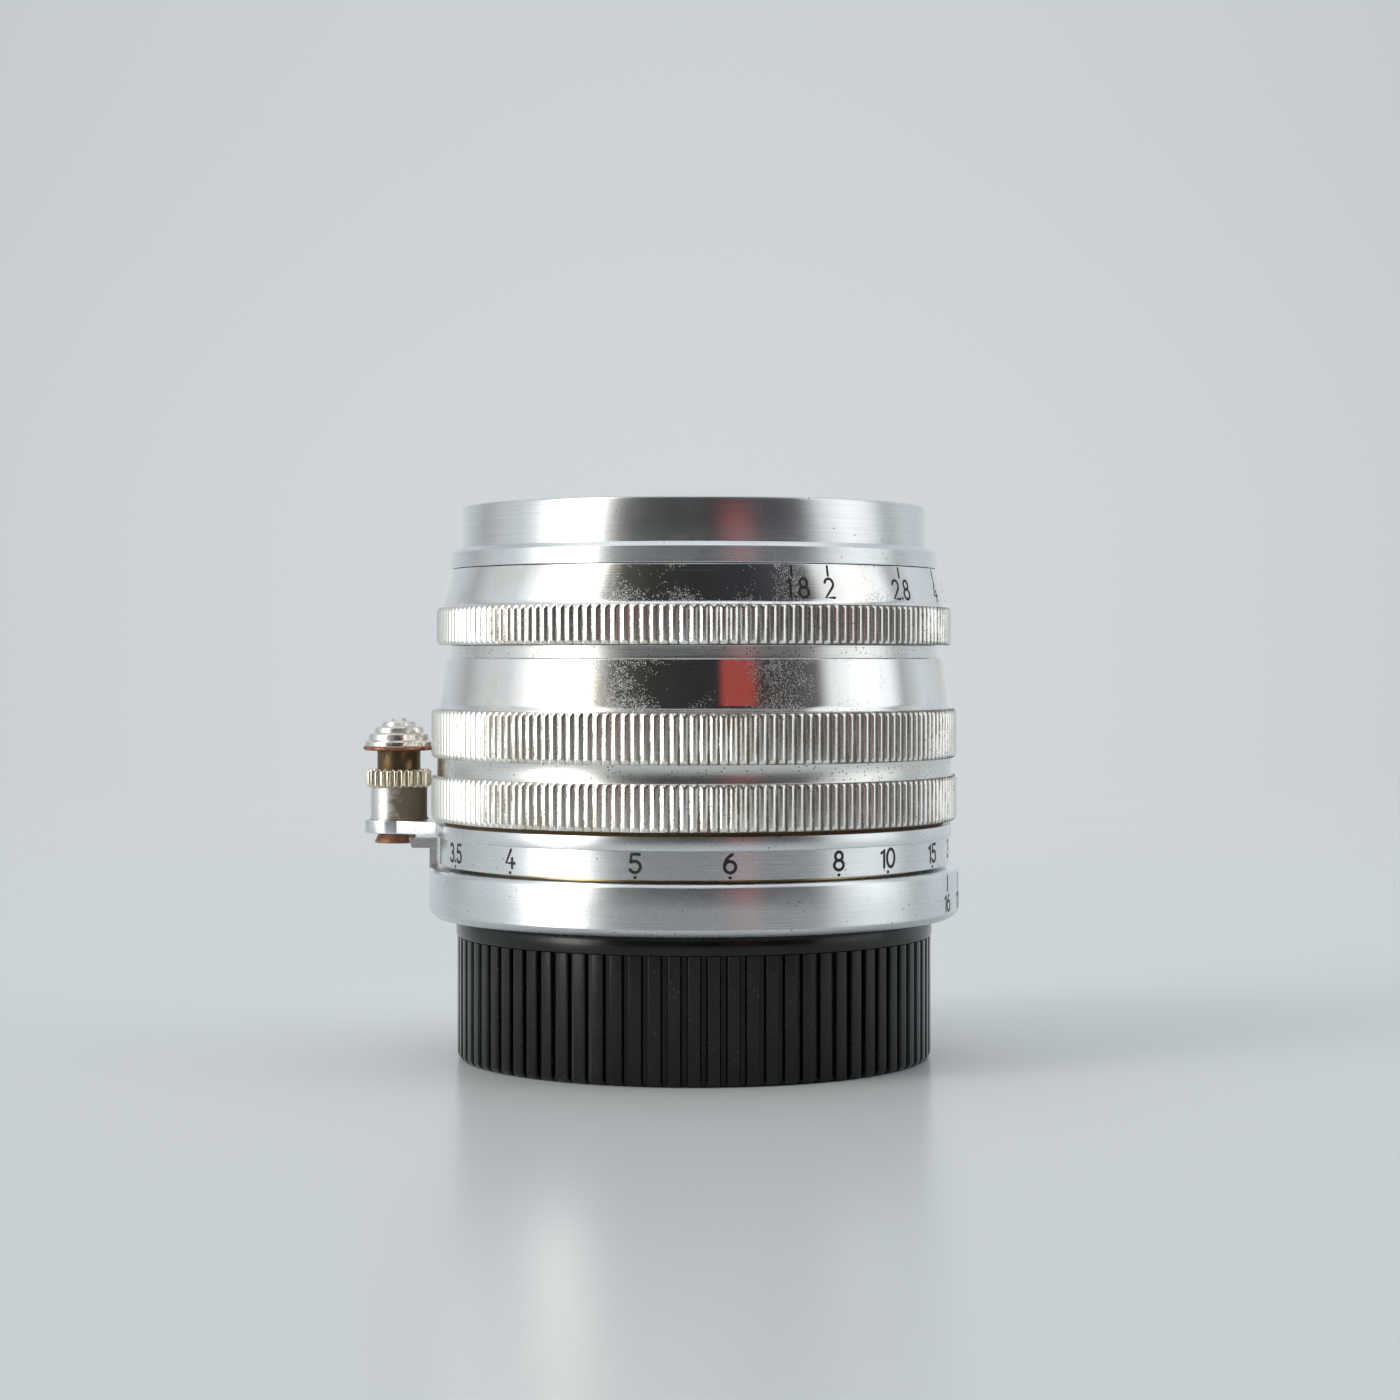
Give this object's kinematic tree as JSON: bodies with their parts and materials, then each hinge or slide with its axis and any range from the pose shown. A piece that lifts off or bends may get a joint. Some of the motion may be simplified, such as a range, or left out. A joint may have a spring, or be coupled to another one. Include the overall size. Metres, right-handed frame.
{
  "type": "prime camera lens",
  "caption": "Chromed screw-mount prime camera lens with knurled focusing and aperture rings, infinity lock button and blade iris, standing on its ribbed black rear cap.",
  "frame": {"origin": "centre of the lens mount's seating face, on the optical axis", "axes": "+Z along the optical axis, out of the front glass; -Y is the side that faces the viewer, +X its right"},
  "size_m": [0.0545, 0.048, 0.0496],
  "materials": {
    "cap_plastic": "semi-gloss moulded black",
    "satin_chrome": "satin, turned",
    "polished_chrome": "mirror polished, with pitting",
    "knurled_nickel": "knurled, grime in the valleys",
    "worn_nickel": "polished, worn and stained",
    "brown_brass": "tarnished brown",
    "bare_copper": "bare, oxidised",
    "yellow_brass": "machined",
    "black_paint": "matt black",
    "barrel_aluminium": "machined",
    "screw_steel": "machined",
    "spring_steel": "drawn wire",
    "blade_steel": "blued, oily",
    "coated_glass": "polished, blue-violet coating"
  },
  "bodies": {
    "rear_cap": {"rear_cap": "cap_plastic"},
    "mount": {"mount_ring": "satin_chrome", "depth_scale_ring": "satin_chrome", "outer_helicoid": "yellow_brass", "mount_screws": "screw_steel", "guide_key": "yellow_brass", "key_screw": "screw_steel", "infinity_catch": "worn_nickel", "catch_screws": "screw_steel"},
    "cam": {"rangefinder_cam": "yellow_brass"},
    "head": {"inner_helicoid": "yellow_brass", "cam_retaining_ring": "black_paint", "helicoid_screws": "screw_steel", "focusing_ring": "knurled_nickel", "distance_scale_ring": "satin_chrome", "lever_plate": "satin_chrome", "lever_post": "worn_nickel", "lever_collar": "brown_brass", "lens_barrel": "barrel_aluminium", "barrel_cone": "polished_chrome", "index_ring": "satin_chrome", "filter_ring": "satin_chrome", "name_ring": "black_paint", "front_cell": "black_paint", "front_spacer": "black_paint", "iris_housing": "black_paint", "rear_cell": "black_paint", "rear_spacer": "black_paint", "rear_retainer": "black_paint", "glass_1": "coated_glass", "glass_2": "coated_glass", "glass_3": "coated_glass", "glass_4": "coated_glass", "glass_5": "coated_glass", "glass_6": "coated_glass"},
    "aperture": {"aperture_ring": "polished_chrome", "drive_screws": "screw_steel", "iris_cam_ring": "black_paint"},
    "button": {"lock_button": "worn_nickel", "lock_stem": "brown_brass", "lock_foot": "bare_copper", "button_spring": "spring_steel"},
    "blade_1": {"iris_blade_1": "blade_steel"},
    "blade_2": {"iris_blade_2": "blade_steel"},
    "blade_3": {"iris_blade_3": "blade_steel"},
    "blade_4": {"iris_blade_4": "blade_steel"},
    "blade_5": {"iris_blade_5": "blade_steel"},
    "blade_6": {"iris_blade_6": "blade_steel"},
    "blade_7": {"iris_blade_7": "blade_steel"},
    "blade_8": {"iris_blade_8": "blade_steel"},
    "blade_9": {"iris_blade_9": "blade_steel"}
  },
  "joints": [
    {"name": "lens_lift", "type": "slide", "parent": "rear_cap", "child": "mount", "axis": [0, 0, 1], "range_m": [0, 0.013]},
    {"name": "focus_extend", "type": "slide", "parent": "mount", "child": "cam", "axis": [0, 0, 1], "range_m": [0, 0.0026]},
    {"name": "focus_turn", "type": "hinge", "parent": "cam", "child": "head", "pos_m": [0, 0, 0], "axis": [0, 0, 1], "range_deg": [0, 167]},
    {"name": "aperture_turn", "type": "hinge", "parent": "head", "child": "aperture", "pos_m": [0, 0, 0], "axis": [0, 0, 1], "range_deg": [-18.4, 75.9]},
    {"name": "blade_1_swing", "type": "hinge", "parent": "head", "child": "blade_1", "pos_m": [0.0142, 0, 0.0125], "axis": [0, 0, 1], "range_deg": [-6.75, 27.8]},
    {"name": "blade_2_swing", "type": "hinge", "parent": "head", "child": "blade_2", "pos_m": [0.01088, 0.00913, 0.0125], "axis": [0, 0, 1], "range_deg": [-6.75, 27.8]},
    {"name": "blade_3_swing", "type": "hinge", "parent": "head", "child": "blade_3", "pos_m": [0.00247, 0.01398, 0.0125], "axis": [0, 0, 1], "range_deg": [-6.75, 27.8]},
    {"name": "blade_4_swing", "type": "hinge", "parent": "head", "child": "blade_4", "pos_m": [-0.0071, 0.0123, 0.0125], "axis": [0, 0, 1], "range_deg": [-6.75, 27.8]},
    {"name": "blade_5_swing", "type": "hinge", "parent": "head", "child": "blade_5", "pos_m": [-0.01334, 0.00486, 0.0125], "axis": [0, 0, 1], "range_deg": [-6.75, 27.8]},
    {"name": "blade_6_swing", "type": "hinge", "parent": "head", "child": "blade_6", "pos_m": [-0.01334, -0.00486, 0.0125], "axis": [0, 0, 1], "range_deg": [-6.75, 27.8]},
    {"name": "blade_7_swing", "type": "hinge", "parent": "head", "child": "blade_7", "pos_m": [-0.0071, -0.0123, 0.0125], "axis": [0, 0, 1], "range_deg": [-6.75, 27.8]},
    {"name": "blade_8_swing", "type": "hinge", "parent": "head", "child": "blade_8", "pos_m": [0.00247, -0.01398, 0.0125], "axis": [0, 0, 1], "range_deg": [-6.75, 27.8]},
    {"name": "blade_9_swing", "type": "hinge", "parent": "head", "child": "blade_9", "pos_m": [0.01088, -0.00913, 0.0125], "axis": [0, 0, 1], "range_deg": [-6.75, 27.8]},
    {"name": "button_press", "type": "slide", "parent": "head", "child": "button", "axis": [0, 0, -1], "range_m": [0, 0.0015], "stiffness_N_per_m": 500, "springref_m": -0.001, "deforming": ["button_spring"]}
  ],
  "couplings": [
    {"joint": "focus_extend", "follows": "focus_turn", "m_per_rad": 0.00089127},
    {"joint": "blade_1_swing", "follows": "aperture_turn", "ratio": 0.36585},
    {"joint": "blade_2_swing", "follows": "aperture_turn", "ratio": 0.36585},
    {"joint": "blade_3_swing", "follows": "aperture_turn", "ratio": 0.36585},
    {"joint": "blade_4_swing", "follows": "aperture_turn", "ratio": 0.36585},
    {"joint": "blade_5_swing", "follows": "aperture_turn", "ratio": 0.36585},
    {"joint": "blade_6_swing", "follows": "aperture_turn", "ratio": 0.36585},
    {"joint": "blade_7_swing", "follows": "aperture_turn", "ratio": 0.36585},
    {"joint": "blade_8_swing", "follows": "aperture_turn", "ratio": 0.36585},
    {"joint": "blade_9_swing", "follows": "aperture_turn", "ratio": 0.36585}
  ]
}
